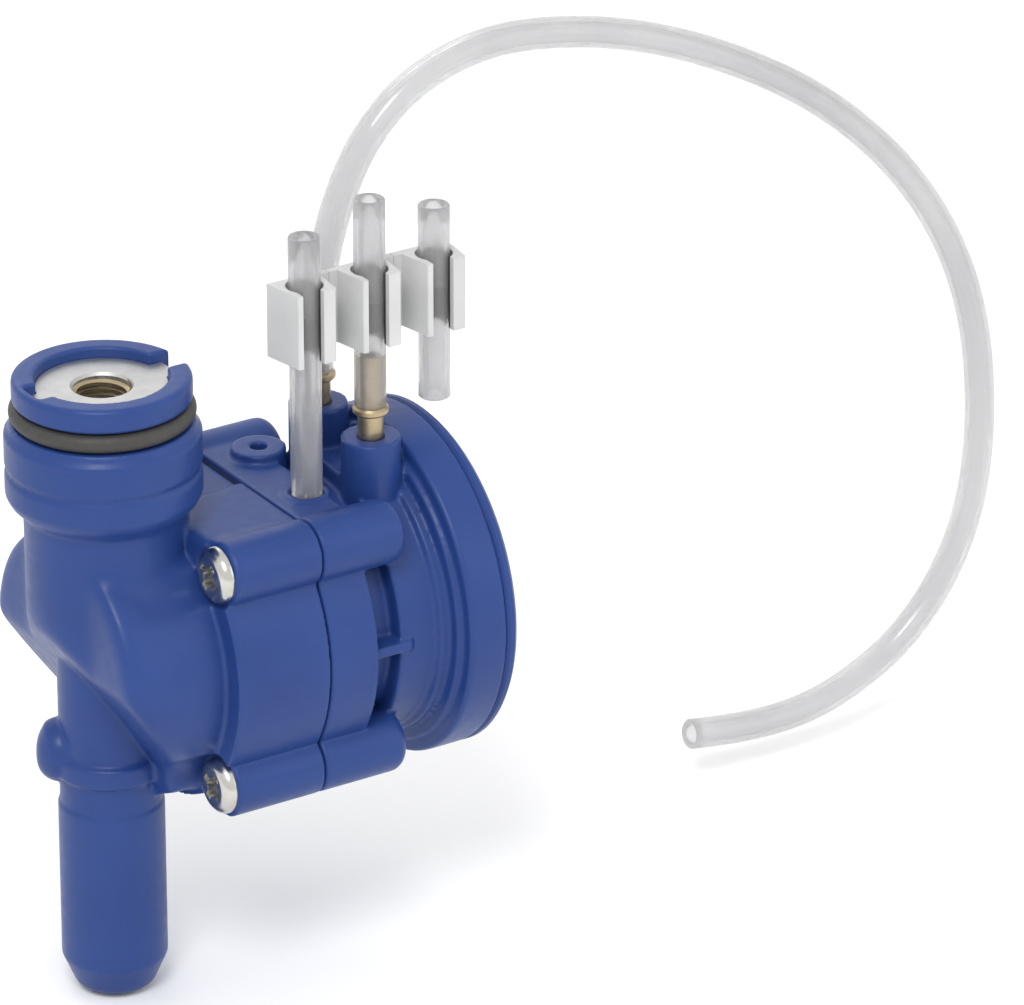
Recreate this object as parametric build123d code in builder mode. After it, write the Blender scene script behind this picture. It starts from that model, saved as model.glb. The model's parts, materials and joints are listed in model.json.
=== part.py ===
"""Drum barrel pump head: an air-driven diaphragm pump with a suction spigot, a threaded outlet and air hoses.

The pipe axis is Z and the chamber axis is X. Heights below are measured from the spigot's shoulder. The
exported pieces have their origin a little lower on the pipe axis, where the suction tube's rim comes to rest.
"""

import os
from math import radians, sqrt, tan

from build123d import *

os.makedirs("parts", exist_ok=True)

# ---------------------------------------------------------------- driving dimensions, millimetres
chamber_z = 23.7  # chamber axis above the spigot's shoulder
tube_rest_z = -6.5  # where the suction tube's rim stops, just under the clamped body
gap = 0.05  # running and assembly clearance on a radius

# pipe: one vertical run from the spigot's tip to the neck's rim
spigot_r, spigot_bore_r, spigot_tip_z = 10.0, 5.2, -45.0
spigot_lead_in = [(6.2, 0.0), (7.6, 1.2), (7.9, 1.8), (10.0, 6.7)]  # (radius, height above the tip)
relief_r = 9.6  # under the shoulder, above the place where the tube stops
valve_bore_r = 7.2
collar_r, collar_height, collar_edge, riser_r = 10.9, 4.3, 0.5, 9.6
stub_r, stub_start, stub_reach, stub_edge_r = 6.1, 8.0, 13.9, 4.6
stub_z, stub_turn = 3.9, 150.0
neck_r, neck_bore_r, neck_bore_z = 15.0, 11.0, 37.0
band_r, band_bottom_z, band_top_z = 18.25, 56.5, 69.9
neck_cone_height = 3.2
band_edge, band_groove_bottom_z, band_groove_top_z, band_groove_depth = 0.8, 61.4, 63.1, 0.5
groove_r, groove_bottom_z, rim_r, rim_bottom_z, rim_top_z, rim_edge = 13.7, 71.2, 16.65, 75.2, 80.0, 0.6
seal_wire_r = 1.75

# outlet plate in the rim
plate_r, plate_top_z, plate_thickness, plate_play, blind_key_reach = 12.2, 77.9, 5.0, 0.15, 14.8
outlet_r, key_width, key_reach, key_base = 5.35, 6.4, 14.4, 2.0

# housings along X
dome_front_x, dome_r = -10.0, 25.5
face_x = 10.5  # the plane that the screw heads sit on
body_r, body_top = 30.0, 26.6  # the top is flat, this far above the chamber axis
foot_x, foot_r, foot_top, foot_half_width = 4.0, 28.5, -14.0, 15.0  # foot_top is from the chamber axis
pad_x, pad_end_x, pad_y, pad_end_y, pad_height = 14.0, 37.0, 1.4, 17.0, 1.1
parting_x, gasket_thickness, gasket_inset, ring_end_x = 30.2, 0.2, 1.2, 40.6
waist_r, bead_x, bead_r, bead_edge, flange_r = 24.0, 46.8, 27.4, 2.6, 33.7
flange_front_x, flange_rear_x = 54.8, 66.3
# flange steps as (x, radius), from the bead outwards
flange_steps = [(54.8, 28.2), (55.2, 28.6), (57.0, 28.6), (57.0, 30.6), (57.4, 31.0), (58.3, 31.0)]
flange_edge = 0.6
side_rib_reach, side_rib_width, side_rib_length = 28.2, 2.2, 9.5

# screws
screw_offset, screw_boss_r, boss_end_x, boss_edge = 21.5, 6.2, 48.8, 2.6
seat_x = face_x + 1.1  # the screw heads sit a little behind the face
screw_play, seat_clearance = 0.15, 15.0
screw_r, screw_length = 2.45, 34.5
screw_head_r, screw_head_height, screw_head_edge = 5.4, 2.4, 2.1
recess_length, recess_width, recess_r, recess_depth, recess_turn = 5.8, 1.5, 1.9, 1.9, 32.0

# wet end and push rod
plunger_bore_r, plunger_bore_x, plunger_x, plunger_length = 12.5, 2.0, 14.0, 8.0
seal_groove_x, seal_groove_width, seal_depth, rod_head_length = 2.6, 2.8, 2.5, 3.0
rod_r, rod_play, bush_r, bush_length = 4.0, 0.3, 8.0, 10.0

# diaphragm end
air_chamber_r, air_chamber_x = 26.0, 55.6
diaphragm_r, diaphragm_x, diaphragm_thickness, diaphragm_fold = 29.1, 62.4, 1.4, 2.2
cover_edge, cover_rim, cover_dish_r, cover_dish_depth, cover_face_r = 0.8, 2.5, 21.0, 4.5, 22.5
cover_depth, vent_boss_r, vent_r, cover_rib_r = 6.5, 6.0, 1.5, 13.0
backing_r, backing_thickness = 16.0, 1.5
spring_r, spring_wire_r, spring_turns = 9.0, 0.7, 4
nut_size, nut_height = 5.0, 3.0

# check valves
suction_ball_r, suction_seat_r, suction_seat_z = 5.0, 4.0, -8.0
delivery_ball_r, delivery_seat_r, delivery_seat_z = 6.5, 5.0, 50.0
seat_thickness, ball_lift, cage_bar = 3.0, 3.0, 1.8

# hoses, barbs and clips
hose_r, hose_bore_r, hose_y = 3.0, 2.0, 9.4
port_x, clip_pitch, port_depth_z = 37.7, 14.0, 43.5
hose_spans = {1: (49.0, 102.0), 2: (65.0, 106.3), 3: (63.5, 102.0)}
barb_r, barb_bore_r, barb_top_z = 1.95, 1.1, 75.2
barb_shank_r, barb_shank_z, barb_collar_r, barb_collar_z, barb_collar_top_z = 2.45, 50.5, 3.4, 63.4, 65.0
barb_collar_edge, air_passage_r = 0.4, 1.2
barb_boss_r, barb_boss_top_z = 5.6, 58.7
ring_boss_r, ring_boss_top_z, ring_boss_x, ring_boss_y, open_port_r = 5.2, 52.1, 39.2, 10.4, 1.6
clip_bottom_z, clip_height = 77.8, 14.5
# a clip's plan, measured from its hose: open to the front, with thin webs to its neighbours at the back
clip_left_back, clip_left_front = (-5.5, 4.3), (-3.9, -4.4)
clip_right_back, clip_right_front = (5.2, 4.3), (4.2, -4.4)
clip_slot_left, clip_slot_right, clip_web = -2.9, 1.5, 1.5
liner_thickness, restrictor_z, restrictor_height = 0.45, 80.3, 5.9
restrictor_bore_r = 0.5

# free hose: its route, from the barb's collar round to the cut end
free_hose_route = [
    (51.7, 9.4, 65.0),
    (51.7, 9.4, 80.0),
    (55.3, 9.4, 95.5),
    (61.5, 9.4, 108.5),
    (71.8, 9.4, 118.0),
    (86.5, 9.4, 122.8),
    (101.5, 9.4, 122.3),
    (121.5, 9.4, 117.8),
    (144.0, 9.4, 108.2),
    (168.0, 9.4, 93.3),
    (189.0, 9.4, 72.0),
    (202.0, 9.4, 47.5),
    (206.3, 9.4, 20.0),
    (203.5, 9.4, -5.5),
    (190.5, 9.4, -25.5),
    (171.0, 9.4, -35.5),
    (152.0, 9.4, -37.0),
    (136.7, 9.4, -34.3),
]
arc_share = 0.45  # of the shorter run beside a corner

barb_x = port_x + clip_pitch
boss_root_z = chamber_z + 14  # inside the waist's wall
port_lip_r, port_lip_height, open_port_z, screw_tip_space = 4.4, 0.5, 41.8, 0.4
parting_rear_x = parting_x + gasket_thickness
top_z = chamber_z + body_top
plate_bottom_z = plate_top_z - plate_thickness
rod_seal_length, rod_seal_lip = 2.6, 1.4
bush_x = parting_rear_x + rod_seal_length  # the bush starts behind the rod seal
spring_pocket_r, spring_pocket_x = 11.0, 47.0
front_backing_x = diaphragm_x - backing_thickness
cover_rim_x, cover_face_x = flange_rear_x + cover_rim, flange_rear_x + cover_depth
cover_rib, vent_boss_height = (15.5, 1.8), 2.2
rear_backing_x = diaphragm_x + diaphragm_thickness
nut_x = rear_backing_x + backing_thickness
rod_tip_x = nut_x + nut_height + 1.5
rod_end_r = rod_r - 1  # both ends of the rod are turned down by 1 mm
chamber_plane = Plane.YZ.shift_origin((0, 0, chamber_z))
chamber_axis = Axis((0, 0, chamber_z), (1, 0, 0))
screw_spots = [
    (sy * screw_offset, sz * screw_offset) for sy in (-1, 1) for sz in (-1, 1)
]


# ---------------------------------------------------------------- small helpers
def across(x):
    """A plane square to the chamber axis, centred on it at this X: its own X runs along the row's Y."""
    return chamber_plane.offset(x)


def save(piece, name):
    placed = piece.part.moved(Location((0, 0, -tube_rest_z)))
    placed.label = name
    export_step(placed, f"parts/{name}.step")


def disc(x_start, x_end, outer_r, inner_r=0.0, mode=Mode.ADD):
    """A round or ring-shaped slice of the chamber's axis, from one X to another."""
    with BuildSketch(across(x_start)) as outline:
        Circle(outer_r)
        if inner_r:
            Circle(inner_r, mode=Mode.SUBTRACT)
    extrude(outline.sketch, amount=x_end - x_start, mode=mode)


def ring(z_start, z_end, outer_r, inner_r=0.0, mode=Mode.ADD, at=(0, 0)):
    """A round or ring-shaped slice of a vertical axis, from one Z to another."""
    with BuildSketch(Plane.XY.offset(z_start)) as outline:
        with Locations(at):
            Circle(outer_r)
            if inner_r:
                Circle(inner_r, mode=Mode.SUBTRACT)
    extrude(outline.sketch, amount=z_end - z_start, mode=mode)


def turned_on_pipe(points, mode=Mode.ADD):
    """A solid turned about the pipe's axis from (radius, z) points."""
    with BuildSketch(Plane.XZ) as profile:
        with BuildLine():
            Polyline(*points, close=True)
        make_face()
    revolve(profile.sketch, axis=Axis.Z, mode=mode)


def turned_on_chamber(points, mode=Mode.ADD, rounded=None, radius=0.0):
    """A solid turned about the chamber's axis from (x, radius) points, with one corner rounded if asked."""
    with BuildSketch(Plane.XZ) as profile:
        with BuildLine():
            Polyline(*[(x, chamber_z + r) for x, r in points], close=True)
        make_face()
        if rounded:
            corner = Vector(rounded[0], 0, chamber_z + rounded[1])
            fillet(profile.vertices().sort_by_distance(corner)[0], radius)
    revolve(profile.sketch, axis=chamber_axis, mode=mode)


def clamp_section(x_start, x_end, inset=0.0):
    """The housings' shared outline: round, flat on top, with four screw bosses."""
    with BuildSketch(across(x_start)) as outline:
        Circle(body_r - inset)
        with Locations((0, body_top - inset + body_r)):
            Rectangle(3 * body_r, 2 * body_r, mode=Mode.SUBTRACT)
        with Locations((0, (body_top - inset) / 2)):
            Rectangle(2 * screw_offset, body_top - inset)
        with Locations(*screw_spots):
            Circle(screw_boss_r - inset)
    extrude(outline.sketch, amount=x_end - x_start)


def screw_holes(x_start, x_end, hole_r):
    """Four holes along the chamber's axis, one in each screw boss."""
    with BuildSketch(across(x_start)) as outline:
        with Locations(*screw_spots):
            Circle(hole_r)
    extrude(outline.sketch, amount=x_end - x_start, mode=Mode.SUBTRACT)


# ---------------------------------------------------------------- front housing
dome_corner_r, slant_edge_r = 12.0, 4.5
slant_top = Vector(-8.5, 0, chamber_z - 0.8)
slant_foot = Vector(9.5, 0, chamber_z - 28.3)
slant_normal = (slant_foot - slant_top).cross(Vector(0, 1, 0))
slant_plane = Plane(origin=slant_top, x_dir=(0, 1, 0), z_dir=slant_normal)
dome_end_x = face_x + 6
stub_direction = Vector(1, 0, 0).rotate(Axis.Z, stub_turn)
stub_plane = Plane(origin=(0, 0, stub_z), z_dir=stub_direction)

with BuildPart() as front_housing:
    # elbow: the dome's drum and the neck pipe, cut by one slanted plane below, its edge rounded
    turned_on_chamber(
        [(dome_front_x, 0), (dome_front_x, dome_r), (dome_end_x, dome_r), (dome_end_x, 0)],
        rounded=(dome_front_x, dome_r),
        radius=dome_corner_r,
    )
    ring(chamber_z - 12, band_bottom_z, neck_r)
    split(bisect_by=slant_plane, keep=Keep.TOP)
    slant_edge = front_housing.faces().sort_by(Axis(slant_top, slant_normal))[0].edges()
    slant_edge = slant_edge.sort_by(SortBy.LENGTH)[-1]
    fillet(slant_edge, slant_edge_r)
    # clamped body behind the dome, up to the parting face
    clamp_section(face_x, parting_x)
    # foot between the two lower screws, down to the spigot's collar
    with BuildSketch(across(foot_x)) as foot:
        Circle(foot_r)
        with Locations((0, foot_top - foot_r)):
            Rectangle(2 * foot_half_width, 2 * foot_r, mode=Mode.INTERSECT)
    extrude(foot.sketch, amount=face_x + 1 - foot_x)
    # spigot, collar and the small side stub
    turned_on_pipe(
        [
            (0, spigot_tip_z),
            *[(r, spigot_tip_z + rise) for r, rise in spigot_lead_in],
            (spigot_r, tube_rest_z),
            (relief_r, tube_rest_z),
            (relief_r, 0),
            (collar_r - collar_edge, 0),
            (collar_r, collar_edge),
            (collar_r, collar_height - collar_edge),
            (collar_r - collar_edge, collar_height),
            (riser_r, collar_height),
            (riser_r, chamber_z + 6),
            (0, chamber_z + 6),
        ]
    )
    with BuildSketch(stub_plane.offset(stub_start)):
        Circle(stub_r)
    extrude(amount=stub_reach - stub_start)
    stub_end = stub_plane.from_local_coords((0, 0, stub_reach))
    fillet(front_housing.faces().sort_by_distance(stub_end)[0].edges(), stub_edge_r)
    # neck: sealing band, seal groove and rim
    turned_on_pipe(
        [
            (0, band_bottom_z - 6),
            (neck_r, band_bottom_z - neck_cone_height),
            (band_r - band_edge, band_bottom_z - band_edge),
            (band_r, band_bottom_z + band_edge),
            (band_r, band_groove_bottom_z),
            (band_r - band_groove_depth, band_groove_bottom_z + band_groove_depth),
            (band_r - band_groove_depth, band_groove_top_z - band_groove_depth),
            (band_r, band_groove_top_z),
            (band_r, band_top_z - band_edge),
            (band_r - band_edge, band_top_z),
            (band_r - 1.5 * band_edge, groove_bottom_z),
            (groove_r, groove_bottom_z),
            (groove_r, rim_bottom_z),
            (rim_r - rim_edge, rim_bottom_z),
            (rim_r, rim_bottom_z + rim_edge),
            (rim_r, rim_top_z - rim_edge),
            (rim_r - rim_edge, rim_top_z),
            (0, rim_top_z),
        ]
    )
    # raised pad on the far half of the top
    with BuildSketch(Plane.XY.offset(top_z - 1)) as pad:
        with Locations(((pad_x + pad_end_x) / 2, (pad_y + pad_end_y) / 2)):
            Rectangle(pad_end_x - pad_x, pad_end_y - pad_y)
        with Locations((parting_x + pad_end_x, 0)):
            Rectangle(2 * pad_end_x, 4 * pad_end_y, mode=Mode.SUBTRACT)
    extrude(pad.sketch, amount=pad_height + 1)
    # passages: outlet pocket and neck, suction bore and plunger chamber
    ring(plate_bottom_z, rim_top_z + 1, plate_r + plate_play, mode=Mode.SUBTRACT)
    ring(neck_bore_z, plate_bottom_z, neck_bore_r, mode=Mode.SUBTRACT)
    ring(spigot_tip_z - 1, chamber_z, spigot_bore_r, mode=Mode.SUBTRACT)
    ring(suction_seat_z, neck_bore_z + 1, valve_bore_r, mode=Mode.SUBTRACT)
    disc(plunger_bore_x, parting_x + 1, plunger_bore_r, mode=Mode.SUBTRACT)
    # keyways of the outlet plate: one right through the rim, one inside it
    with BuildSketch(Plane.XY.offset(plate_bottom_z + 1)):
        with Locations((rim_r / 2, 0)):
            Rectangle(rim_r + 2, key_width)
        with Locations((-blind_key_reach / 2, 0)):
            Rectangle(blind_key_reach, key_width)
    extrude(amount=rim_top_z - plate_bottom_z, mode=Mode.SUBTRACT)
    screw_holes(face_x - 6, parting_x + 1, screw_r + screw_play)
    # flat seats for the screw heads, clear of the dome in front
    with BuildSketch(across(seat_x)):
        with Locations(*screw_spots):
            Circle(screw_boss_r + gap)
    extrude(amount=-seat_clearance, mode=Mode.SUBTRACT)

# ---------------------------------------------------------------- rear housing
with BuildPart() as rear_housing:
    clamp_section(parting_rear_x, ring_end_x)
    # screw bosses run on past the ring and end rounded
    with BuildSketch(across(ring_end_x)):
        with Locations(*screw_spots):
            Circle(screw_boss_r)
    extrude(amount=boss_end_x - ring_end_x)
    boss_ends = rear_housing.faces().sort_by(Axis.X)[-4:].edges()
    fillet(boss_ends, boss_edge)
    # waist, bead, flange steps and flange
    disc(ring_end_x - 1, flange_front_x + 1, waist_r)
    turned_on_chamber(
        [(bead_x, 0), (bead_x, bead_r), (flange_front_x + 1, bead_r), (flange_front_x + 1, 0)],
        rounded=(bead_x, bead_r),
        radius=bead_edge,
    )
    turned_on_chamber(
        [
            (flange_front_x, 0),
            *flange_steps,
            (flange_steps[-1][0], flange_r - flange_edge),
            (flange_steps[-1][0] + flange_edge, flange_r),
            (flange_rear_x - flange_edge / 2, flange_r),
            (flange_rear_x, flange_r - flange_edge / 2),
            (flange_rear_x, 0),
        ]
    )
    # side ribs between the clamp ring and the bead
    with BuildSketch(across(ring_end_x - 1)):
        Rectangle(2 * side_rib_reach, side_rib_width)
    extrude(amount=side_rib_length)
    # barb bosses, ring boss and hose port on the top
    for side in (-1, 1):
        ring(boss_root_z, barb_boss_top_z, barb_boss_r, at=(barb_x, side * hose_y))
    ring(boss_root_z, ring_boss_top_z, ring_boss_r, at=(ring_boss_x, ring_boss_y))
    ring(boss_root_z, top_z + port_lip_height, port_lip_r, at=(port_x, -hose_y))
    # bores: rod seal and bush, spring pocket, diaphragm chamber and its clamp recess
    disc(parting_rear_x - 1, bush_x + bush_length, bush_r + gap, mode=Mode.SUBTRACT)
    disc(bush_x, air_chamber_x, rod_r + rod_play, mode=Mode.SUBTRACT)
    disc(spring_pocket_x, air_chamber_x + 1, spring_pocket_r, mode=Mode.SUBTRACT)
    disc(air_chamber_x, flange_rear_x + 1, air_chamber_r, mode=Mode.SUBTRACT)
    disc(diaphragm_x, flange_rear_x + 1, diaphragm_r + 4 * gap, mode=Mode.SUBTRACT)
    # holes: screws, hose port, open port, barb shanks and their passages
    screw_holes(parting_rear_x - 1, seat_x + screw_length + screw_tip_space, screw_r + gap)
    ring(port_depth_z, top_z + 5, hose_r + 2 * gap, mode=Mode.SUBTRACT, at=(port_x, -hose_y))
    ring(open_port_z, ring_boss_top_z + 1, open_port_r, mode=Mode.SUBTRACT, at=(ring_boss_x, ring_boss_y))
    for side in (-1, 1):
        at = (barb_x, side * hose_y)
        ring(barb_shank_z, barb_boss_top_z + 1, barb_shank_r + gap, mode=Mode.SUBTRACT, at=at)
        ring(chamber_z + rod_r, barb_shank_z + 1, air_passage_r, mode=Mode.SUBTRACT, at=at)

with BuildPart() as housing_gasket:
    clamp_section(parting_x, parting_rear_x, inset=gasket_inset)
    disc(parting_x - 1, parting_rear_x + 1, plunger_bore_r + screw_play, mode=Mode.SUBTRACT)
    screw_holes(parting_x - 1, parting_rear_x + 1, screw_r + screw_play)

with BuildPart() as rear_cover:
    # dished cover with a clamp lip that presses on the diaphragm's rim
    clamp_x = diaphragm_x + diaphragm_thickness
    disc(clamp_x, flange_rear_x, diaphragm_r, air_chamber_r)
    turned_on_chamber(
        [
            (flange_rear_x, 0),
            (flange_rear_x, flange_r - cover_edge),
            (flange_rear_x + cover_edge, flange_r),
            (cover_rim_x - cover_edge, flange_r),
            (cover_rim_x, flange_r - cover_edge),
            (cover_rim_x, cover_face_r + cover_depth - cover_rim),
            (cover_face_x, cover_face_r),
            (cover_face_x, 0),
        ]
    )
    disc(flange_rear_x - 1, flange_rear_x + 1, air_chamber_r - cover_edge, mode=Mode.SUBTRACT)
    disc(flange_rear_x, flange_rear_x + cover_dish_depth, cover_dish_r, mode=Mode.SUBTRACT)
    # vent boss and six stiffening ribs on the back
    disc(cover_face_x, cover_face_x + vent_boss_height, vent_boss_r)
    with BuildSketch(across(cover_face_x)):
        with PolarLocations(cover_rib_r, 6):
            Rectangle(*cover_rib)
    extrude(amount=vent_boss_height / 2)
    disc(flange_rear_x + 1, cover_face_x + vent_boss_height + 1, vent_r, mode=Mode.SUBTRACT)

# ---------------------------------------------------------------- screws
with BuildPart() as housing_screws:
    with BuildSketch(across(seat_x - screw_head_height)):
        with Locations(*screw_spots):
            Circle(screw_head_r)
    extrude(amount=screw_head_height)
    fillet(housing_screws.faces().sort_by(Axis.X)[:4].edges(), screw_head_edge)
    with BuildSketch(across(seat_x)):
        with Locations(*screw_spots):
            Circle(screw_r)
    extrude(amount=screw_length)
    chamfer(housing_screws.faces().sort_by(Axis.X)[-4:].edges(), 0.8)
    # cross recess
    with BuildSketch(across(seat_x - screw_head_height)):
        with Locations(*screw_spots):
            with Locations(Location((0, 0), recess_turn)):
                Rectangle(recess_length, recess_width)
                Rectangle(recess_width, recess_length)
                Circle(recess_r)
    extrude(amount=recess_depth, taper=12, mode=Mode.SUBTRACT)

# ---------------------------------------------------------------- neck
with BuildPart() as neck_seal:
    seal_z = (groove_bottom_z + rim_bottom_z) / 2
    with BuildSketch(Plane.XZ):
        with Locations((groove_r + gap + seal_wire_r, seal_z)):
            Circle(seal_wire_r)
    revolve(axis=Axis.Z)

with BuildPart() as outlet_plate:
    ring(plate_bottom_z + gap, plate_top_z, plate_r)
    with BuildSketch(Plane.XY.offset(plate_bottom_z + key_base)):
        Rectangle(2 * key_reach, key_width - 4 * gap)
    extrude(amount=plate_thickness - key_base)
    ring(plate_bottom_z - 1, plate_top_z + 1, outlet_r, mode=Mode.SUBTRACT)
    top_rounds = outlet_plate.faces().sort_by(Axis.Z)[-1].edges().filter_by(GeomType.CIRCLE)
    chamfer(top_rounds.sort_by(SortBy.RADIUS)[0], 0.5)


# ---------------------------------------------------------------- check valves
def check_valve(seat_z, seat_outer_r, seat_inner_r, ball_r, wall_r):
    """Seat ring, ball and ball cage of one check valve that opens upwards, as three pieces."""
    seat_top_z = seat_z + seat_thickness
    ball_z = seat_top_z + sqrt(ball_r**2 - seat_inner_r**2) + 0.12
    stop_z = ball_z + ball_r + ball_lift + 0.3
    with BuildPart() as seat:
        ring(seat_z, seat_top_z, seat_outer_r, seat_inner_r)
    with BuildPart() as ball:
        with Locations((0, 0, ball_z)):
            Sphere(ball_r)
    with BuildPart() as cage:
        ring(seat_top_z, stop_z + 2, seat_outer_r, wall_r)
        with BuildSketch(Plane.XY.offset(stop_z)) as bars:
            Rectangle(2 * wall_r + 1, cage_bar)
            Rectangle(cage_bar, 2 * wall_r + 1)
        extrude(bars.sketch, amount=2)
    return seat, ball, cage


suction_seat, suction_ball, suction_cage = check_valve(
    suction_seat_z, valve_bore_r - gap, suction_seat_r, suction_ball_r, suction_ball_r + 0.35
)
delivery_seat, delivery_ball, delivery_cage = check_valve(
    delivery_seat_z, neck_bore_r - gap, delivery_seat_r, delivery_ball_r, delivery_ball_r + 0.4
)

# ---------------------------------------------------------------- plunger, rod and diaphragm
with BuildPart() as plunger:
    disc(plunger_x, plunger_x + plunger_length, plunger_bore_r - rod_play, rod_end_r + gap)
    groove_x = plunger_x + seal_groove_x
    groove_end_x = groove_x + seal_groove_width
    disc(groove_x, groove_end_x, plunger_bore_r + 1, plunger_bore_r - seal_depth, Mode.SUBTRACT)

with BuildPart() as plunger_seal:
    disc(groove_x + gap, groove_end_x - gap, plunger_bore_r - gap, plunger_bore_r - seal_depth + gap)
    fillet(plunger_seal.edges().filter_by(GeomType.CIRCLE).group_by(SortBy.RADIUS)[-1], 0.9)

with BuildPart() as push_rod:
    disc(plunger_x - rod_head_length, plunger_x + plunger_length, rod_end_r)
    disc(plunger_x + plunger_length, front_backing_x, rod_r)
    disc(front_backing_x, rod_tip_x, rod_end_r)
    disc(plunger_x - rod_head_length, plunger_x, rod_r + 0.5)
    chamfer(push_rod.edges().sort_by(Axis.X)[-1], 0.5)

with BuildPart() as rod_seal:
    disc(parting_rear_x, bush_x, bush_r, rod_r + gap)
    lip_x = parting_rear_x + rod_seal_length / 2
    disc(parting_rear_x - 1, lip_x, bush_r - rod_seal_lip, rod_r + rod_seal_lip, Mode.SUBTRACT)

with BuildPart() as rod_bush:
    disc(bush_x, bush_x + bush_length, bush_r, rod_r + gap)

with BuildPart() as return_spring:
    spring_start_x = spring_pocket_x + spring_wire_r
    spring_height = front_backing_x - spring_pocket_x - 2 * spring_wire_r - 0.2
    with BuildLine() as coil:
        start = (spring_start_x, 0, chamber_z)
        pitch = spring_height / spring_turns
        Helix(pitch, spring_height, spring_r, center=start, direction=(1, 0, 0))
    with BuildSketch(Plane(origin=coil.line @ 0, z_dir=coil.line % 0)):
        Circle(spring_wire_r)
    sweep(is_frenet=True)

with BuildPart() as diaphragm:
    # one fold, as (distance in front of the flat, radius), then the same line one thickness behind
    fold = diaphragm_fold
    front_line = [
        (0, rod_end_r + gap),
        (0, backing_r + 1.5),
        (fold, backing_r + 3.6),
        (fold, air_chamber_r - 3.2),
        (0, air_chamber_r - 1.2),
        (0, diaphragm_r),
    ]
    rear_line = [
        (0, diaphragm_r),
        (0, air_chamber_r - 1.7),
        (fold, air_chamber_r - 3.8),
        (fold, backing_r + 4.2),
        (0, backing_r + 2.0),
        (0, rod_end_r + gap),
    ]
    turned_on_chamber(
        [(diaphragm_x - ahead, r) for ahead, r in front_line]
        + [(rear_backing_x - ahead, r) for ahead, r in rear_line]
    )

with BuildPart() as front_backing:
    disc(front_backing_x, diaphragm_x, backing_r, rod_end_r + gap)
with BuildPart() as rear_backing:
    disc(rear_backing_x, nut_x, backing_r, rod_end_r + gap)
with BuildPart() as rod_nut:
    with BuildSketch(across(nut_x)):
        RegularPolygon(nut_size, 6)
        Circle(rod_end_r + gap, mode=Mode.SUBTRACT)
    extrude(amount=nut_height)


# ---------------------------------------------------------------- brass barbs
def brass_barb(side):
    """One pressed-in brass hose barb: shank, round collar and plain tube, bored through."""
    at = (barb_x, side * hose_y)
    with BuildPart() as barb:
        ring(barb_collar_z, barb_collar_top_z, barb_collar_r, at=at)
        chamfer(barb.edges().filter_by(GeomType.CIRCLE), barb_collar_edge)
        ring(barb_shank_z + gap, barb_collar_z, barb_shank_r, at=at)
        ring(barb_collar_top_z, barb_top_z, barb_r, at=at)
        ring(barb_shank_z, barb_top_z + 1, barb_bore_r, mode=Mode.SUBTRACT, at=at)
    return barb


# ---------------------------------------------------------------- hoses, restrictors, clips and liners
def hose_x(number):
    return port_x + (number - 1) * clip_pitch


def short_hose(number):
    """One straight clear hose."""
    z_start, z_end = hose_spans[number]
    with BuildPart() as hose:
        ring(z_start, z_end, hose_r, hose_bore_r, at=(hose_x(number), -hose_y))
    return hose


def restrictor(number):
    """A small dark plug with a fine bore, in the hose at its clip's lower half."""
    with BuildPart() as plug:
        top_z = restrictor_z + restrictor_height
        ring(restrictor_z, top_z, hose_bore_r - gap, restrictor_bore_r, at=(hose_x(number), -hose_y))
    return plug


def hose_clip(number):
    """A clip that holds its hose from three sides, open at the front, with webs to its neighbours."""
    bore_r = hose_r + liner_thickness + 2 * gap
    slot_middle, slot_width = (clip_slot_left + clip_slot_right) / 2, clip_slot_right - clip_slot_left
    front_y, back_y = clip_left_front[1], clip_left_back[1]
    web_start = gap - clip_pitch / 2 if number > 1 else 0.0
    web_end = clip_pitch / 2 - gap if number < 3 else 0.0
    with BuildSketch() as block:
        with BuildLine():
            Polyline(clip_left_back, clip_left_front, clip_right_front, clip_right_back, close=True)
        make_face()
        fillet(block.vertices().group_by(Axis.Y)[0], clip_web / 3)
        with Locations(((web_start + web_end) / 2, back_y - clip_web / 2)):
            Rectangle(web_end - web_start, clip_web)
        Circle(bore_r, mode=Mode.SUBTRACT)
        with Locations((slot_middle, front_y)):
            Rectangle(slot_width, -2 * front_y, mode=Mode.SUBTRACT)
    with BuildPart() as clip:
        with BuildSketch(Plane((hose_x(number), -hose_y, clip_bottom_z))) as outline:
            add(block.sketch)
        extrude(outline.sketch, amount=clip_height)
    return clip


def clip_liner(number):
    """The dark grip liner between a clip's right jaw and its hose."""
    outer_r = hose_r + gap + liner_thickness
    with BuildPart() as liner:
        with BuildSketch(Plane.XY.offset(clip_bottom_z + 2 * gap)) as outline:
            with Locations((hose_x(number), -hose_y)):
                Circle(outer_r)
                Circle(hose_r + gap, mode=Mode.SUBTRACT)
            with Locations((hose_x(number) + clip_slot_right + outer_r, -hose_y)):
                Rectangle(2 * outer_r, 2 * outer_r, mode=Mode.INTERSECT)
        extrude(outline.sketch, amount=clip_height - 4 * gap)
    return liner


# ---------------------------------------------------------------- free hose
def corner_radii(route):
    """One tangent arc for each corner of a route, as large as its two runs allow."""
    radii = []
    for before, corner, after in zip(route, route[1:], route[2:]):
        run_in, run_out = Vector(*corner) - Vector(*before), Vector(*after) - Vector(*corner)
        half_turn = radians(run_in.get_angle(run_out)) / 2
        radii.append(arc_share * min(run_in.length, run_out.length) / tan(half_turn))
    return radii


route_radii = corner_radii(free_hose_route)
print("free hose radii", [round(r, 1) for r in route_radii])

with BuildPart() as free_hose:
    with BuildLine():
        FilletPolyline(*free_hose_route, radius=route_radii)
    with BuildSketch(Plane(origin=free_hose_route[0], z_dir=(0, 0, 1))):
        Circle(hose_r)
        Circle(hose_bore_r, mode=Mode.SUBTRACT)
    sweep()

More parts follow.
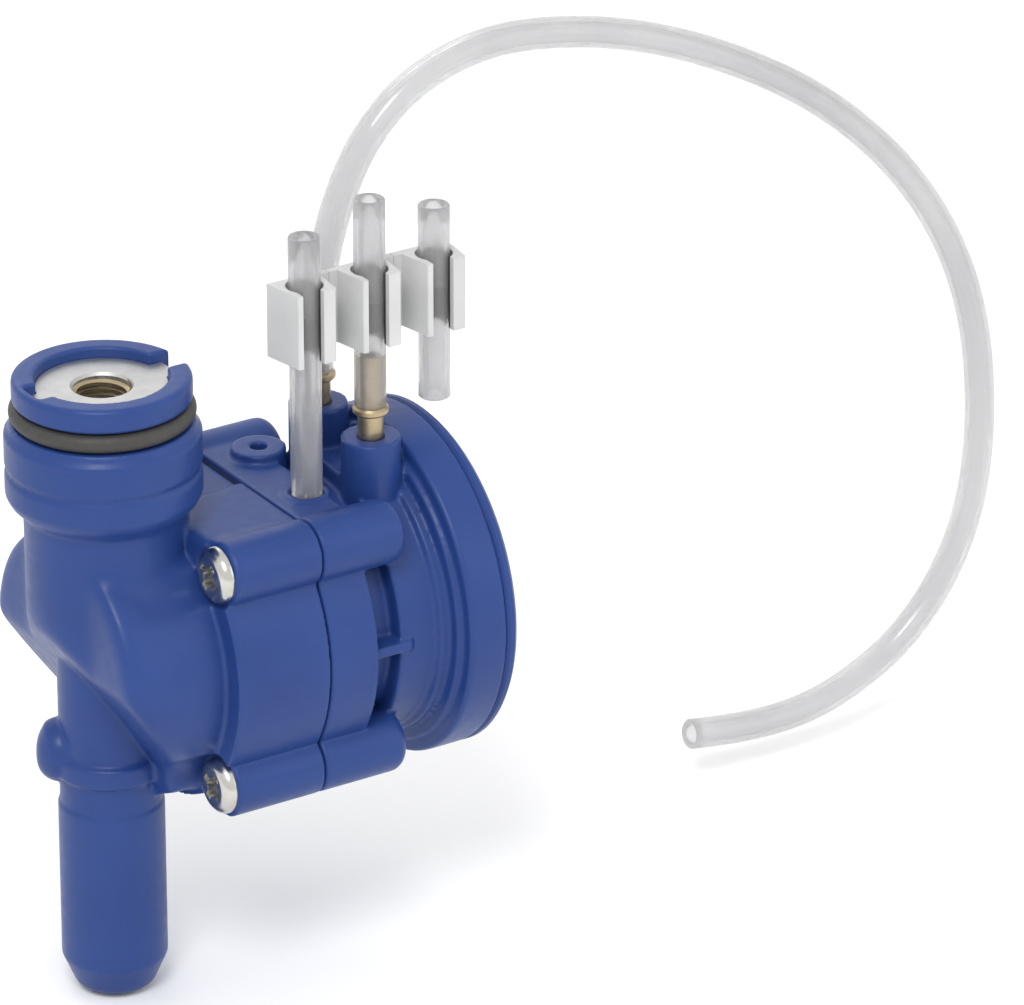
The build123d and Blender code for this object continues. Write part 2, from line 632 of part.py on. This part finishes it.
# ---------------------------------------------------------------- export
pieces = {
    "front_housing": front_housing,
    "rear_housing": rear_housing,
    "housing_gasket": housing_gasket,
    "rear_cover": rear_cover,
    "housing_screws": housing_screws,
    "neck_seal": neck_seal,
    "outlet_plate": outlet_plate,
    "suction_seat": suction_seat,
    "suction_ball": suction_ball,
    "suction_cage": suction_cage,
    "delivery_seat": delivery_seat,
    "delivery_ball": delivery_ball,
    "delivery_cage": delivery_cage,
    "plunger": plunger,
    "plunger_seal": plunger_seal,
    "push_rod": push_rod,
    "rod_seal": rod_seal,
    "rod_bush": rod_bush,
    "return_spring": return_spring,
    "diaphragm": diaphragm,
    "front_backing": front_backing,
    "rear_backing": rear_backing,
    "rod_nut": rod_nut,
    "barb_1": brass_barb(-1),
    "barb_2": brass_barb(1),
    "free_hose": free_hose,
}
for number in (1, 2, 3):
    pieces[f"hose_{number}"] = short_hose(number)
    pieces[f"restrictor_{number}"] = restrictor(number)
    pieces[f"clip_{number}"] = hose_clip(number)
    pieces[f"liner_{number}"] = clip_liner(number)

for name, piece in pieces.items():
    save(piece, name)
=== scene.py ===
"""Looks of the drum barrel pump head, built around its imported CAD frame."""

import json
import math

import bmesh
import bpy
from mathutils import Matrix, Vector


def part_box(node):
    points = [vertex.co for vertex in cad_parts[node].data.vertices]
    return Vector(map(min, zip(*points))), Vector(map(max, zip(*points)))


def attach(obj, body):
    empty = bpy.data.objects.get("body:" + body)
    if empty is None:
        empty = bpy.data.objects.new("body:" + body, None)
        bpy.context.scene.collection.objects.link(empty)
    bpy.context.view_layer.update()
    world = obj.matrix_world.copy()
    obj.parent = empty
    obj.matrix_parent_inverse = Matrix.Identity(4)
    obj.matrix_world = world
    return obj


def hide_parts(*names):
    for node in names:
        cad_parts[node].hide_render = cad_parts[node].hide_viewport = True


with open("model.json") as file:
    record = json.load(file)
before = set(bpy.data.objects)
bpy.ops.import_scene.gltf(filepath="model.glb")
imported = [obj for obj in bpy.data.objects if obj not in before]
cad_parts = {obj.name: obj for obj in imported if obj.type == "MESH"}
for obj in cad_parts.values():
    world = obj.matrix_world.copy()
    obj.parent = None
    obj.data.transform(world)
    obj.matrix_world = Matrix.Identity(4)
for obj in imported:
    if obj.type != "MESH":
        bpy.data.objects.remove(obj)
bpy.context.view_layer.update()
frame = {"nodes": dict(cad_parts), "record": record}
scene = bpy.context.scene
MM = 0.001

# ---------------------------------------------------------------- camera
AZIMUTH, ELEVATION = math.radians(-32.7), math.radians(25.0)
LENS_MM, SENSOR_MM, FRAME_PX = 281.0, 36.0, 1024
PX_PER_MM = 5.4
AIM_RIGHT, AIM_UP = 0.0748, 0.0277
CHAMBER_Z = 0.5 * sum(corner.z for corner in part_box("rear_cover"))
CHAMBER_MM = CHAMBER_Z / MM


def add_camera():
    """A long lens that looks down on the visible side, and the place in metres it aims at.

    The aim lies right of and above the place where the pipe and the chamber cross.
    """
    right = Vector((math.cos(AZIMUTH), math.sin(AZIMUTH), 0))
    back = Vector(
        (
            math.sin(AZIMUTH) * math.cos(ELEVATION),
            -math.cos(AZIMUTH) * math.cos(ELEVATION),
            math.sin(ELEVATION),
        )
    )
    up = back.cross(right)
    target = Vector((0, 0, CHAMBER_Z)) + AIM_RIGHT * right + AIM_UP * up
    distance = LENS_MM / SENSOR_MM * FRAME_PX / PX_PER_MM * MM
    data = bpy.data.cameras.new("camera")
    data.lens, data.sensor_width = LENS_MM, SENSOR_MM
    data.clip_start, data.clip_end = 0.05, 20.0
    camera = bpy.data.objects.new("camera", data)
    scene.collection.objects.link(camera)
    turn = Matrix((right, up, back)).transposed().to_4x4()
    camera.matrix_world = Matrix.Translation(target + distance * back) @ turn
    scene.camera = camera
    return target


target = add_camera()


# ---------------------------------------------------------------- material helpers
def new_material(name, colour, roughness, **sockets):
    """A Principled material; sockets are named like its inputs, with _ for a space."""
    material = bpy.data.materials.new(name)
    material.use_nodes = True
    shader = material.node_tree.nodes["Principled BSDF"]
    shader.inputs["Base Color"].default_value = (*colour, 1)
    shader.inputs["Roughness"].default_value = roughness
    for socket, value in sockets.items():
        shader.inputs[socket.replace("_", " ")].default_value = value
    return material


def node(material, kind, **settings):
    made = material.node_tree.nodes.new(kind)
    for name, value in settings.items():
        if name in made.inputs:
            made.inputs[name].default_value = value
        else:
            setattr(made, name, value)
    return made


def link(material, output, target_input):
    material.node_tree.links.new(output, target_input)


def noise(material, scale, detail=3.0, stretch=(1, 1, 1), rough=0.5):
    """Noise in object space, its coordinates in metres scaled by stretch."""
    place = node(material, "ShaderNodeTexCoord")
    mapping = node(material, "ShaderNodeMapping", Scale=stretch)
    link(material, place.outputs["Object"], mapping.inputs["Vector"])
    made = node(material, "ShaderNodeTexNoise", Scale=scale, Detail=detail, Roughness=rough)
    link(material, mapping.outputs["Vector"], made.inputs["Vector"])
    return made.outputs["Fac"]


def ramp(material, source, low, high, start=0.3, end=0.7):
    """A colour or value between low and high, as source goes from start to end."""
    made = node(material, "ShaderNodeValToRGB")
    for element, place, value in zip(made.color_ramp.elements, (start, end), (low, high)):
        element.position = place
        element.color = (*value, 1) if isinstance(value, tuple) else (value, value, value, 1)
    link(material, source, made.inputs["Fac"])
    return made.outputs["Color"]


def bumps(material, layers):
    """Stacks bump nodes, each from (height source, distance in metres, strength), onto the shader."""
    shader = material.node_tree.nodes["Principled BSDF"]
    previous = None
    for source, distance, strength in layers:
        made = node(material, "ShaderNodeBump", Strength=strength, Distance=distance)
        link(material, source, made.inputs["Height"])
        if previous:
            link(material, previous, made.inputs["Normal"])
        previous = made.outputs["Normal"]
    link(material, previous, shader.inputs["Normal"])


def colour_and_roughness(material, colour=None, roughness=None):
    shader = material.node_tree.nodes["Principled BSDF"]
    if colour:
        link(material, colour, shader.inputs["Base Color"])
    if roughness:
        link(material, roughness, shader.inputs["Roughness"])


# ---------------------------------------------------------------- materials
def blue_plastic():
    m = new_material("blue_plastic", (0.018, 0.046, 0.19), 0.33, IOR=1.48, Specular_IOR_Level=0.30)
    tone = noise(m, 55.0, 2.0)
    colour_and_roughness(
        m,
        ramp(m, tone, (0.0150, 0.0425, 0.180), (0.0185, 0.0500, 0.203)),
        ramp(m, noise(m, 420.0, 4.0), 0.33, 0.43),
    )
    bumps(m, [(noise(m, 2600.0, 2.0), 0.00002, 0.16), (noise(m, 160.0, 2.0), 0.00008, 0.10)])
    return m


def white_plastic():
    m = new_material("white_plastic", (0.60, 0.60, 0.60), 0.42)
    colour_and_roughness(
        m,
        ramp(m, noise(m, 90.0, 2.0), (0.50, 0.505, 0.50), (0.57, 0.575, 0.57)),
        ramp(m, noise(m, 600.0), 0.36, 0.48),
    )
    bumps(m, [(noise(m, 2400.0), 0.00002, 0.15)])
    return m


def valve_plastic():
    m = new_material("valve_plastic", (0.70, 0.69, 0.65), 0.45)
    colour_and_roughness(m, ramp(m, noise(m, 120.0), (0.66, 0.65, 0.61), (0.75, 0.74, 0.70)))
    bumps(m, [(noise(m, 2000.0), 0.00002, 0.2)])
    return m


def rubber(name, shade):
    """Matt black or dark grey, slightly warm, for seals and for the cartridges."""
    m = new_material(name, (shade, shade * 0.95, shade * 0.9), 0.55)
    low, high = shade * 0.8, shade * 1.25
    colour_and_roughness(
        m,
        ramp(m, noise(m, 140.0), (low, low * 0.95, low * 0.9), (high, high * 0.95, high * 0.9)),
        ramp(m, noise(m, 700.0), 0.48, 0.64),
    )
    bumps(m, [(noise(m, 3000.0), 0.00002, 0.25)])
    return m


def metal(name, colour, roughness, grain=(1, 1, 12), depth=0.15):
    """Turned or plated metal with fine grain lines along one direction."""
    m = new_material(name, colour, roughness, Metallic=1.0)
    dark = tuple(0.86 * c for c in colour)
    colour_and_roughness(
        m,
        ramp(m, noise(m, 260.0, 3.0), dark, colour),
        ramp(m, noise(m, 700.0, 3.0, grain), roughness * 0.75, roughness * 1.3),
    )
    bumps(m, [(noise(m, 900.0, 2.0, grain), 0.00002, depth)])
    return m


def clear_hose():
    m = new_material(
        "clear_hose", (0.74, 0.74, 0.75), 0.12, IOR=1.42, Transmission_Weight=0.80, Alpha=0.86
    )
    tone = noise(m, 60.0, 2.0, (1, 1, 0.3))
    colour_and_roughness(
        m,
        ramp(m, tone, (0.70, 0.70, 0.71), (0.77, 0.77, 0.775)),
        ramp(m, noise(m, 240.0, 3.0), 0.08, 0.18),
    )
    bumps(m, [(noise(m, 120.0, 2.0), 0.00005, 0.12)])
    return m


materials = {
    "blue_plastic": blue_plastic(),
    "black_rubber": rubber("black_rubber", 0.035),
    "zinc_steel": metal("zinc_steel", (0.60, 0.59, 0.55), 0.20, (1, 1, 12), 0.03),
    "light_metal": metal("light_metal", (0.56, 0.56, 0.55), 0.45, (6, 6, 1)),
    "light_plastic": valve_plastic(),
    "brass": metal("brass", (0.47, 0.38, 0.24), 0.34),
    "clear_hose": clear_hose(),
    "dark_plastic": rubber("dark_plastic", 0.055),
    "white_plastic": white_plastic(),
}
slot_of = {row["node"]: row["material_slot"] for row in frame["record"]["subparts"]}
for name, cad in frame["nodes"].items():
    cad.data.materials.clear()
    cad.data.materials.append(materials[slot_of[name]])

# ---------------------------------------------------------------- moulded shells
VOXEL_MM = 0.42
KEPT_FACES = 0.32  # share of a shell's faces that stays after thinning
LEAST_SHARE = 0.01  # weights below this leave a vertex where it is


def new_object(name, data):
    made = bpy.data.objects.new(name, data)
    scene.collection.objects.link(made)
    return made


def mesh_data(name, mesh):
    """Mesh data from a closed bmesh, its faces turned outwards. The bmesh is freed."""
    bmesh.ops.recalc_face_normals(mesh, faces=mesh.faces)
    data = bpy.data.meshes.new(name)
    mesh.to_mesh(data)
    mesh.free()
    return data


def baked(carrier):
    """The carrier's mesh with its modifiers applied, which are then removed."""
    view = bpy.context.evaluated_depsgraph_get()
    mesh = bpy.data.meshes.new_from_object(carrier.evaluated_get(view))
    carrier.modifiers.clear()
    carrier.data = mesh
    return mesh


def moulded_shell(name, node_name, blends):
    """A CAD node's shape as one softly rounded moulding.

    blends are (weight of a place in mm, strength, rounds): each smooths the places of high weight.
    """
    shell = new_object(name, frame["nodes"][node_name].data.copy())
    remesh = shell.modifiers.new("remesh", "REMESH")
    remesh.mode, remesh.voxel_size = "VOXEL", VOXEL_MM * MM
    baked(shell)
    for number, (weight, factor, rounds) in enumerate(blends):
        group = shell.vertex_groups.new(name=f"blend_{number}")
        for vertex in shell.data.vertices:
            share = weight(vertex.co / MM)
            if share > LEAST_SHARE:
                group.add([vertex.index], min(share, 1.0), "REPLACE")
        smooth = shell.modifiers.new("smooth", "SMOOTH")
        smooth.factor, smooth.iterations, smooth.vertex_group = factor, rounds, group.name
    thin = shell.modifiers.new("thin", "DECIMATE")
    thin.ratio = KEPT_FACES
    baked(shell)
    for face in shell.data.polygons:
        face.use_smooth = True
    shell.data.materials.clear()
    shell.data.materials.append(materials["blue_plastic"])
    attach(shell, "housing")
    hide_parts(node_name)
    print(name, "faces", len(shell.data.polygons))
    return shell


def fade(value, start, end):
    """0 before start, 1 after end, and a straight line between them."""
    return max(0.0, min(1.0, (value - start) / (end - start)))


def everywhere(place):
    return 1.0


def dome_creases(place):
    """High where the neck runs into the dome, and along the dome's slanted edge.

    It is 0 inside the neck, the valve bores and the plunger's bore, which keep their size.
    """
    x, y, z = place.x, place.y, place.z - CHAMBER_MM
    plunger_bore = (1 - fade(math.hypot(y, z), 13.2, 14.0)) * fade(x, -2.5, 0.5)
    outside = fade(math.hypot(x, y), 12.2, 13.0) * (1 - plunger_bore)
    return outside * fade(z, -24.0, -18.0) * (1 - fade(z, 26.0, 29.0)) * (1 - fade(x, 7.5, 9.5))


def foot_and_shoulder(place):
    """High where the foot leaves the collar, and where the neck meets the body's flat top."""
    x, y, z = place.x, place.y, place.z - CHAMBER_MM
    foot = fade(math.hypot(x, y), 10.0, 11.5) * fade(x, 1.5, 3.5) * (1 - fade(x, 9.0, 10.5))
    foot *= 1 - fade(z, -15.0, -11.0)
    shoulder = fade(z, 22.0, 24.0) * (1 - fade(z, 29.0, 31.0)) * (1 - fade(x, 24.0, 28.0))
    shoulder *= fade(math.hypot(x, y), 13.0, 14.0) * fade(x, -4.0, 2.0)
    return max(foot, shoulder)


EDGE_BLEND = (everywhere, 0.5, 3)
moulded_shell(
    "front_moulding",
    "front_housing",
    [(dome_creases, 0.85, 110), (foot_and_shoulder, 0.8, 50), EDGE_BLEND],
)
moulded_shell("rear_moulding", "rear_housing", [EDGE_BLEND])

# ---------------------------------------------------------------- free hose
HOSE_R, HOSE_BORE_R = 3.0 * MM, 2.0 * MM
FREE_HOSE_ROUTE_MM = [
    (51.7, 9.4, 71.5),
    (51.7, 9.4, 86.5),
    (55.3, 9.4, 102.0),
    (61.5, 9.4, 115.0),
    (71.8, 9.4, 124.5),
    (86.5, 9.4, 129.3),
    (101.5, 9.4, 128.8),
    (121.5, 9.4, 124.3),
    (144.0, 9.4, 114.7),
    (168.0, 9.4, 99.8),
    (189.0, 9.4, 78.5),
    (202.0, 9.4, 54.0),
    (206.3, 9.4, 26.5),
    (203.5, 9.4, 1.0),
    (190.5, 9.4, -19.0),
    (171.0, 9.4, -29.0),
    (152.0, 9.4, -30.5),
    (136.7, 9.4, -27.8),
]


def nurbs_line(points):
    """The smooth line that a route's points steer, as a list of places."""
    curve = bpy.data.curves.new("route", "CURVE")
    curve.dimensions = "3D"
    spline = curve.splines.new("NURBS")
    spline.points.add(len(points) - 1)
    for control, place in zip(spline.points, points):
        control.co = (*place, 1)
    spline.order_u = 3
    spline.use_endpoint_u = True
    spline.resolution_u = 12
    carrier = new_object("route", curve)
    line = bpy.data.meshes.new_from_object(carrier)
    places = [vertex.co.copy() for vertex in line.vertices]
    bpy.data.objects.remove(carrier)
    bpy.data.meshes.remove(line)
    return places


def tube(name, path, outer_r, inner_r, sides=48, lip=0.00018):
    """A hollow tube along a path, with softly rounded cut ends."""
    last = len(path) - 1
    frames = []
    side = Vector((0, 1, 0))
    for i, place in enumerate(path):
        ahead = (path[min(i + 1, last)] - path[max(i - 1, 0)]).normalized()
        side = (side - side.dot(ahead) * ahead).normalized()
        frames.append((place, ahead, side, ahead.cross(side)))

    def wall(wall_r, lip_r):
        """Rings (place, side, up, radius) from the path's start to its end."""
        rings = []
        for i, (place, ahead, side, up) in enumerate(frames):
            if i == 0:
                rings += [(place, side, up, lip_r), (place + lip * ahead, side, up, wall_r)]
            elif i == last:
                rings += [(place - lip * ahead, side, up, wall_r), (place, side, up, lip_r)]
            else:
                rings.append((place, side, up, wall_r))
        return rings

    mesh = bmesh.new()
    loops = []
    # out along the outer wall and back along the bore
    for place, side, up, radius in wall(outer_r, outer_r - lip) + wall(inner_r, inner_r + lip)[::-1]:
        angles = [2 * math.pi * k / sides for k in range(sides)]
        loops.append(
            [
                mesh.verts.new(place + radius * math.cos(angle) * side + radius * math.sin(angle) * up)
                for angle in angles
            ]
        )
    for a, b in zip(loops, loops[1:] + loops[:1]):
        for k in range(sides):
            n = (k + 1) % sides
            mesh.faces.new((a[k], a[n], b[n], b[k]))
    data = mesh_data(name, mesh)
    for face in data.polygons:
        face.use_smooth = True
    return new_object(name, data)


free_path = nurbs_line([Vector(p) * MM for p in FREE_HOSE_ROUTE_MM])
free_hose = tube("free_hose_tube", free_path, HOSE_R, HOSE_BORE_R)
free_hose.data.materials.append(materials["clear_hose"])
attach(free_hose, "housing")
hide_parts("free_hose")

# ---------------------------------------------------------------- short hoses
GRIP_BORE_R = HOSE_BORE_R - 0.07 * MM  # the soft bore closes on barbs and cartridges
HOSE_STEPS = 8


def short_hose(number):
    """One upright hose in place of its CAD solid."""
    low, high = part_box(f"hose_{number}")
    middle = 0.5 * (low + high)
    rise = high.z - low.z
    path = [
        Vector((middle.x, middle.y, low.z + rise * k / HOSE_STEPS)) for k in range(HOSE_STEPS + 1)
    ]
    hose = tube(f"short_hose_{number}", path, HOSE_R, GRIP_BORE_R)
    hose.data.materials.append(materials["clear_hose"])
    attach(hose, "clip_row" if number == 3 else "housing")
    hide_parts(f"hose_{number}")


for number in (1, 2, 3):
    short_hose(number)


# ---------------------------------------------------------------- outlet thread
THREAD_R = 5.42 * MM  # sunk a little into the wall of the plate's hole
THREAD_PITCH, THREAD_DEPTH, THREAD_SIDES = 1.25 * MM, 0.75 * MM, 64
THREAD_TOP_GAP = 0.6 * MM  # from the plate's top to the middle of the first turn
THREAD_SHORTER = 1.0 * MM  # what the thread lacks of the plate's thickness
ROOT_HALF, CREST_HALF = 0.42, 0.07  # half widths of a turn's root and crest, in pitches
RUN_OUT = 0.3  # turns over which the thread rises at either end


def outlet_thread():
    """A right-hand thread winding down the inside of the plate's hole."""
    low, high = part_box("outlet_plate")
    turns = (high.z - low.z - THREAD_SHORTER) / THREAD_PITCH
    count = int(turns * THREAD_SIDES)
    ramp_steps = RUN_OUT * THREAD_SIDES
    mesh = bmesh.new()
    rows = []
    for k in range(count + 1):
        angle = -2 * math.pi * k / THREAD_SIDES
        z = high.z - THREAD_TOP_GAP - THREAD_PITCH * k / THREAD_SIDES
        crest_r = THREAD_R - THREAD_DEPTH * min(1.0, k / ramp_steps, (count - k) / ramp_steps)
        rows.append(
            [
                mesh.verts.new((r * math.cos(angle), r * math.sin(angle), z + lift * THREAD_PITCH))
                for r, lift in (
                    (THREAD_R, ROOT_HALF),
                    (crest_r, CREST_HALF),
                    (crest_r, -CREST_HALF),
                    (THREAD_R, -ROOT_HALF),
                )
            ]
        )
    for a, b in zip(rows, rows[1:]):
        for i in range(4):
            j = (i + 1) % 4
            mesh.faces.new((a[i], a[j], b[j], b[i]))
    mesh.faces.new(rows[0])
    mesh.faces.new(rows[-1][::-1])
    thread = new_object("outlet_thread", mesh_data("outlet_thread", mesh))
    thread.data.materials.append(materials["brass"])
    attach(thread, "housing")


outlet_thread()

# ---------------------------------------------------------------- floor, lights and world
FLOOR_GAP = 0.5 * MM
FLOOR_HALF = 4.0


def pale_floor():
    m = new_material("pale_floor", (0.93, 0.93, 0.93), 0.8)
    colour_and_roughness(m, ramp(m, noise(m, 6.0, 2.0), (0.92, 0.92, 0.92), (0.94, 0.94, 0.94)))
    return m


def add_floor():
    mesh = bmesh.new()
    bmesh.ops.create_grid(mesh, x_segments=8, y_segments=8, size=FLOOR_HALF)
    data = bpy.data.meshes.new("floor")
    mesh.to_mesh(data)
    mesh.free()
    floor = new_object("floor", data)
    floor.location.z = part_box("front_housing")[0].z - FLOOR_GAP
    data.materials.append(pale_floor())


def area_light(name, place, size, power):
    """A round soft light at a place in metres, aimed where the camera aims."""
    data = bpy.data.lights.new(name, "AREA")
    data.shape, data.size, data.energy = "DISK", size, power
    light = new_object(name, data)
    light.location = Vector(place)
    aim = target - light.location
    light.rotation_euler = aim.to_track_quat("-Z", "Y").to_euler()


add_floor()
area_light("key", (-0.45, -0.55, 0.9), 0.40, 5.5)
area_light("fill", (0.8, -0.9, 0.5), 0.9, 1.5)
area_light("back", (0.2, 0.9, 0.8), 0.7, 1.5)
world = bpy.data.worlds.new("studio")
world.use_nodes = True
world.node_tree.nodes["Background"].inputs["Color"].default_value = (1, 1, 1, 1)
world.node_tree.nodes["Background"].inputs["Strength"].default_value = 1.0
scene.world = world
scene.view_settings.view_transform = "Standard"
